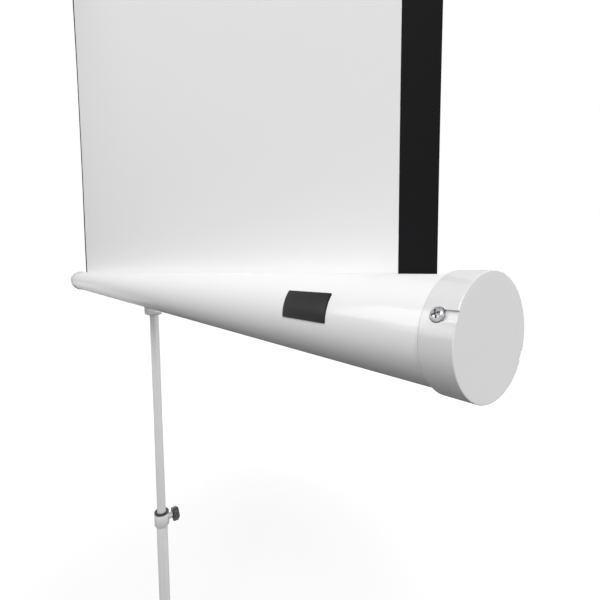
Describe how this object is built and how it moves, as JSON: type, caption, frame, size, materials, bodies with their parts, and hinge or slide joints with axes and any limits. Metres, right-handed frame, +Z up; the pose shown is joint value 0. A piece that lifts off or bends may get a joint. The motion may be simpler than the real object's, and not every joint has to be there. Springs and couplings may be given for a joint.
{
  "type": "tripod projection screen",
  "caption": "Free-standing projection screen: a square sheet drawn up from a round white case that pivots on a telescopic tripod stand with folding braced legs.",
  "frame": {"origin": "middle of the footprint, on the floor", "axes": "+Z up, -Y towards the audience, +X to the audience's right along the case"},
  "size_m": [1.674, 0.8127, 2.7651],
  "materials": {
    "white_enamel_steel": "gloss",
    "white_enamel_aluminium": "gloss",
    "white_plastic": "satin",
    "dark_plastic": "satin",
    "black_rubber": "matte",
    "zinc_steel": "satin",
    "chrome_screw": "polished",
    "white_screen_vinyl": "matte",
    "black_screen_vinyl": "matte"
  },
  "bodies": {
    "stand": {"column_tube": "white_enamel_steel", "column_foot_plug": "dark_plastic", "brace_collar": "white_plastic", "column_lock_collar": "white_plastic", "column_bush": "dark_plastic"},
    "column_knob": {"column_lock_knob": "dark_plastic"},
    "crown": {"leg_crown": "white_plastic", "leg_pin_1": "zinc_steel", "leg_pin_2": "zinc_steel", "leg_pin_3": "zinc_steel"},
    "crown_knob": {"crown_lock_knob": "dark_plastic"},
    "mast": {"mast_tube": "white_enamel_steel", "mast_bush": "dark_plastic", "case_bracket": "white_plastic", "pivot_bolt": "zinc_steel", "pivot_washer": "zinc_steel", "carry_handle": "dark_plastic"},
    "rod_knob": {"rod_lock_knob": "dark_plastic"},
    "lower_stage": {"lower_rod": "white_enamel_steel"},
    "twist_collar": {"rod_twist_collar": "dark_plastic"},
    "upper_stage": {"upper_rod": "white_enamel_steel", "hook_head": "dark_plastic"},
    "case": {"case_tube": "white_enamel_aluminium", "end_cap_right": "white_plastic", "end_cap_left": "white_plastic", "pivot_saddle": "white_plastic", "cap_screw_right_front": "chrome_screw", "cap_screw_right_back": "chrome_screw", "cap_screw_left_front": "chrome_screw", "cap_screw_left_back": "chrome_screw", "screen_fabric": "white_screen_vinyl", "fabric_backing": "black_screen_vinyl", "spring_shaft": "zinc_steel"},
    "roller": {"roller_tube": "zinc_steel", "idle_plug": "dark_plastic", "spring_plug": "dark_plastic", "spring_anchor": "dark_plastic", "roller_spring": "zinc_steel", "fabric_wraps": "white_screen_vinyl"},
    "bar": {"top_bar": "white_enamel_aluminium", "bar_cap_left": "dark_plastic", "bar_cap_right": "dark_plastic", "bar_hanger": "zinc_steel"},
    "left_leg": {"leg_1": "white_enamel_steel", "foot_1": "black_rubber", "brace_pin_1": "zinc_steel"},
    "left_brace": {"brace_1": "zinc_steel"},
    "right_leg": {"leg_2": "white_enamel_steel", "foot_2": "black_rubber", "brace_pin_2": "zinc_steel"},
    "right_brace": {"brace_2": "zinc_steel"},
    "rear_leg": {"leg_3": "white_enamel_steel", "foot_3": "black_rubber", "brace_pin_3": "zinc_steel"},
    "rear_brace": {"brace_3": "zinc_steel"}
  },
  "joints": [
    {"name": "leg_fold", "type": "slide", "parent": "stand", "child": "crown", "axis": [0, 0, -1], "range_m": [-0.248, 0]},
    {"name": "height", "type": "slide", "parent": "stand", "child": "mast", "axis": [0, 0, 1], "range_m": [-0.26, 0.2]},
    {"name": "column_knob_turn", "type": "hinge", "parent": "stand", "child": "column_knob", "pos_m": [0, -0.13049, 0.584], "axis": [0, 1, 0], "range_deg": [-360, 0]},
    {"name": "crown_knob_turn", "type": "hinge", "parent": "crown", "child": "crown_knob", "pos_m": [0, -0.13049, 0.2673], "axis": [0.866, 0.5, 0], "range_deg": [-360, 0]},
    {"name": "rod_knob_turn", "type": "hinge", "parent": "mast", "child": "rod_knob", "pos_m": [0, -0.13049, 1.1778], "axis": [-1, 0, 0], "range_deg": [-360, 0]},
    {"name": "case_pivot", "type": "hinge", "parent": "mast", "child": "case", "pos_m": [0, -0.147, 1.1538], "axis": [0, -1, 0], "range_deg": [-90, 0]},
    {"name": "screen_lift", "type": "slide", "parent": "mast", "child": "lower_stage", "axis": [0, 0, 1], "range_m": [-0.765, 0]},
    {"name": "twist_lock", "type": "hinge", "parent": "lower_stage", "child": "twist_collar", "pos_m": [0, -0.13049, 1.964], "axis": [0, 0, 1], "range_deg": [-90, 0]},
    {"name": "upper_slide", "type": "slide", "parent": "lower_stage", "child": "upper_stage", "axis": [0, 0, 1], "range_m": [-0.765, 0]},
    {"name": "bar_slide", "type": "slide", "parent": "case", "child": "bar", "axis": [0, 0, 1], "range_m": [-1.53, 0], "deforming": ["screen_fabric", "fabric_backing"]},
    {"name": "roller_spin", "type": "hinge", "parent": "case", "child": "roller", "pos_m": [0, -0.18454, 1.1538], "axis": [1, 0, 0], "range_deg": [-5250, 0]},
    {"name": "left_leg_swing", "type": "hinge", "parent": "crown", "child": "left_leg", "pos_m": [-0.02165, -0.14299, 0.29], "axis": [-0.5, 0.866, 0], "range_deg": [-60, 0]},
    {"name": "left_brace_swing", "type": "hinge", "parent": "left_leg", "child": "left_brace", "pos_m": [-0.20765, -0.25037, 0.166], "axis": [-0.5, 0.866, 0], "range_deg": [0, 120]},
    {"name": "right_leg_swing", "type": "hinge", "parent": "crown", "child": "right_leg", "pos_m": [0.02165, -0.14299, 0.29], "axis": [-0.5, -0.866, 0], "range_deg": [-60, 0]},
    {"name": "right_brace_swing", "type": "hinge", "parent": "right_leg", "child": "right_brace", "pos_m": [0.20765, -0.25037, 0.166], "axis": [-0.5, -0.866, 0], "range_deg": [0, 120]},
    {"name": "rear_leg_swing", "type": "hinge", "parent": "crown", "child": "rear_leg", "pos_m": [0, -0.10549, 0.29], "axis": [1, 0, 0], "range_deg": [-60, 0]},
    {"name": "rear_brace_swing", "type": "hinge", "parent": "rear_leg", "child": "rear_brace", "pos_m": [0, 0.10929, 0.166], "axis": [1, 0, 0], "range_deg": [0, 120]}
  ],
  "couplings": [
    {"joint": "upper_slide", "follows": "screen_lift", "ratio": 1},
    {"joint": "bar_slide", "follows": "screen_lift", "ratio": 2},
    {"joint": "roller_spin", "follows": "screen_lift", "rad_per_m": 119.7},
    {"joint": "left_leg_swing", "follows": "leg_fold", "rad_per_m": 4.2226},
    {"joint": "left_brace_swing", "follows": "leg_fold", "rad_per_m": -8.4451},
    {"joint": "right_leg_swing", "follows": "leg_fold", "rad_per_m": 4.2226},
    {"joint": "right_brace_swing", "follows": "leg_fold", "rad_per_m": -8.4451},
    {"joint": "rear_leg_swing", "follows": "leg_fold", "rad_per_m": 4.2226},
    {"joint": "rear_brace_swing", "follows": "leg_fold", "rad_per_m": -8.4451}
  ]
}
